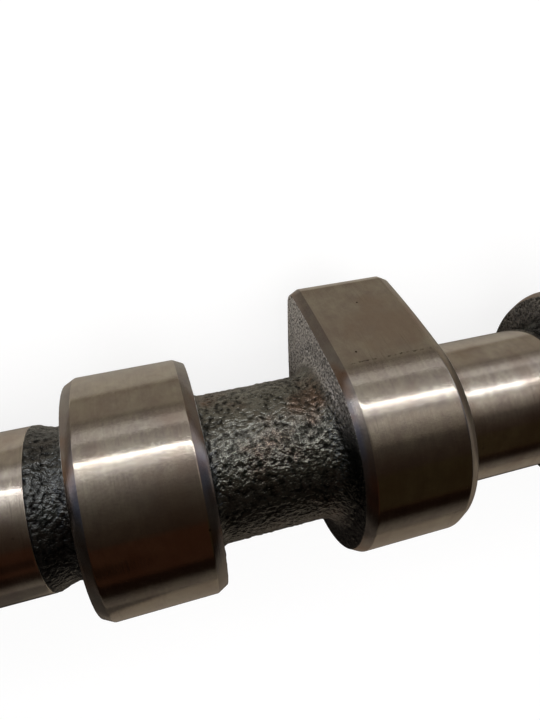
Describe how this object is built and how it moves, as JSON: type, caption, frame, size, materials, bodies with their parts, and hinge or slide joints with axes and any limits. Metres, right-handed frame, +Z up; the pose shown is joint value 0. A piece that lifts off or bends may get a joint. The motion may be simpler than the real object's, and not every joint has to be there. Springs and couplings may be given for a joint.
{
  "type": "camshaft",
  "caption": "One-piece cast overhead camshaft: bearing journals, paired lobes with bevelled rims, rough cast necks, and a drive end with seal land, keyed pulley seat and tapped hole.",
  "frame": {"origin": "on the shaft's axis, in the middle of the front journal's ground length", "axes": "+X along the shaft's axis from the drive end to the rear end; +Z up as the shaft lies at rest on a flat floor"},
  "size_m": [0.412, 0.053, 0.053],
  "materials": {
    "cast_iron": "as cast, dark and oily",
    "ground_iron": "finely ground, with lines that run round the shaft"
  },
  "bodies": {
    "root": {"camshaft": "cast_iron"}
  },
  "joints": []
}
